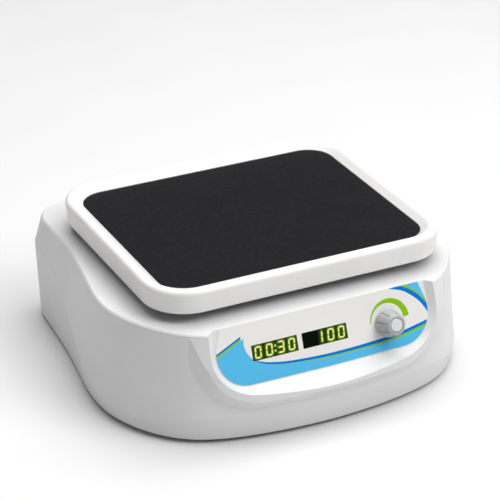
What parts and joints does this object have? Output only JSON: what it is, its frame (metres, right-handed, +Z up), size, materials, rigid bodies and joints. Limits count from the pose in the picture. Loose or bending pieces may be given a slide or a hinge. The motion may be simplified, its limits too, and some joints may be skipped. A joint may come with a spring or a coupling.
{
  "type": "orbital shaker",
  "caption": "Compact bench orbital shaker: moulded housing with a recessed front panel, digit windows and a push-turn knob, and a rimmed tray with a non-slip mat that circles on cranks.",
  "frame": {"origin": "middle of the overall box, on the bench under the rubber feet", "axes": "+X to the right along the width, +Y to the rear, +Z up; the control panel faces -Y"},
  "size_m": [0.3352, 0.3144, 0.1308],
  "materials": {
    "housing_shell": "fine satin texture",
    "tray_white": "satin",
    "mat_rubber": "matt, fine ribbed",
    "foot_rubber": "matt",
    "plate_steel": "zinc plated",
    "screw_steel": "zinc plated",
    "overlay_film": "satin printed film",
    "display_window": "clear, dark tint",
    "led_block": "matt",
    "circuit_board": "solder mask",
    "encoder_case": "satin",
    "nut_brass": "nickel plated",
    "spindle_white": "satin",
    "knob_grey": "satin",
    "cap_grey": "satin",
    "carrier_aluminium": "milled",
    "bearing_steel": "ground",
    "crank_steel": "turned",
    "weight_iron": "painted",
    "pulley_black": "moulded",
    "belt_rubber": "matt",
    "motor_metal": "satin",
    "inlet_black": "satin",
    "rocker_black": "gloss",
    "component_mixed": "mixed",
    "magnet_metal": "plated"
  },
  "bodies": {
    "base": {"upper_housing": "housing_shell", "base_plate": "plate_steel", "rubber_feet": "foot_rubber", "housing_screws": "screw_steel", "panel_overlay": "overlay_film", "display_lenses": "display_window", "display_modules": "led_block", "control_board": "circuit_board", "board_screws": "screw_steel", "encoder_body": "encoder_case", "encoder_nut": "nut_brass", "bearing_housing": "carrier_aluminium", "main_bearings": "bearing_steel", "flange_screws": "screw_steel", "idler_housings": "carrier_aluminium", "idler_bearings": "bearing_steel", "drive_belt": "belt_rubber", "motor_body": "motor_metal", "motor_bracket": "plate_steel", "motor_screws": "screw_steel", "chassis_plate": "plate_steel", "chassis_columns": "screw_steel", "chassis_screws": "screw_steel", "speed_sensor": "circuit_board", "power_board": "circuit_board", "power_components": "component_mixed", "power_board_posts": "screw_steel", "power_inlet": "inlet_black", "switch_body": "inlet_black"},
    "crank": {"main_crank": "crank_steel", "counterweight": "weight_iron", "drive_pulley": "pulley_black", "sensor_magnet": "magnet_metal"},
    "platform": {"platform_tray": "tray_white", "platform_plate": "plate_steel", "rubber_mat": "mat_rubber", "tray_screws": "screw_steel", "carrier_plate": "carrier_aluminium", "pin_bearings": "bearing_steel"},
    "idler_left": {"idler_crank_left": "crank_steel"},
    "idler_right": {"idler_crank_right": "crank_steel"},
    "idler_rear": {"idler_crank_rear": "crank_steel"},
    "rotor": {"motor_shaft": "crank_steel", "motor_pulley": "pulley_black"},
    "encoder_slide": {"encoder_plunger": "spindle_white"},
    "knob": {"encoder_spindle": "spindle_white", "control_knob": "knob_grey", "knob_cap": "cap_grey"},
    "rocker": {"power_rocker": "rocker_black"}
  },
  "joints": [
    {"name": "drive_spin", "type": "hinge", "parent": "base", "child": "crank", "pos_m": [0, 0.014, 0.08], "axis": [0, 0, 1], "continuous": true},
    {"name": "platform_swivel", "type": "hinge", "parent": "crank", "child": "platform", "pos_m": [0, 0.0045, 0.11], "axis": [0, 0, 1], "continuous": true},
    {"name": "idler_left_spin", "type": "hinge", "parent": "base", "child": "idler_left", "pos_m": [-0.085, -0.026, 0.08], "axis": [0, 0, 1], "continuous": true},
    {"name": "idler_right_spin", "type": "hinge", "parent": "base", "child": "idler_right", "pos_m": [0.085, -0.026, 0.08], "axis": [0, 0, 1], "continuous": true},
    {"name": "idler_rear_spin", "type": "hinge", "parent": "base", "child": "idler_rear", "pos_m": [0, 0.092, 0.08], "axis": [0, 0, 1], "continuous": true},
    {"name": "motor_spin", "type": "hinge", "parent": "base", "child": "rotor", "pos_m": [-0.095, 0.075, 0.04], "axis": [0, 0, 1], "continuous": true},
    {"name": "knob_push", "type": "slide", "parent": "base", "child": "encoder_slide", "axis": [0, 0.9367, -0.3502], "range_m": [0, 0.0007], "stiffness_N_per_m": 6000, "springref_m": -0.0002},
    {"name": "knob_turn", "type": "hinge", "parent": "encoder_slide", "child": "knob", "pos_m": [0.0585, -0.14258, 0.07699], "axis": [0, -0.9367, 0.3502], "continuous": true},
    {"name": "rocker_tip", "type": "hinge", "parent": "base", "child": "rocker", "pos_m": [0.02, 0.1539, 0.034], "axis": [0, 0, 1], "range_deg": [-16, 0]}
  ],
  "couplings": [
    {"joint": "platform_swivel", "follows": "drive_spin", "ratio": -1},
    {"joint": "idler_left_spin", "follows": "drive_spin", "ratio": 1},
    {"joint": "idler_right_spin", "follows": "drive_spin", "ratio": 1},
    {"joint": "idler_rear_spin", "follows": "drive_spin", "ratio": 1},
    {"joint": "motor_spin", "follows": "drive_spin", "ratio": 3.3333}
  ]
}
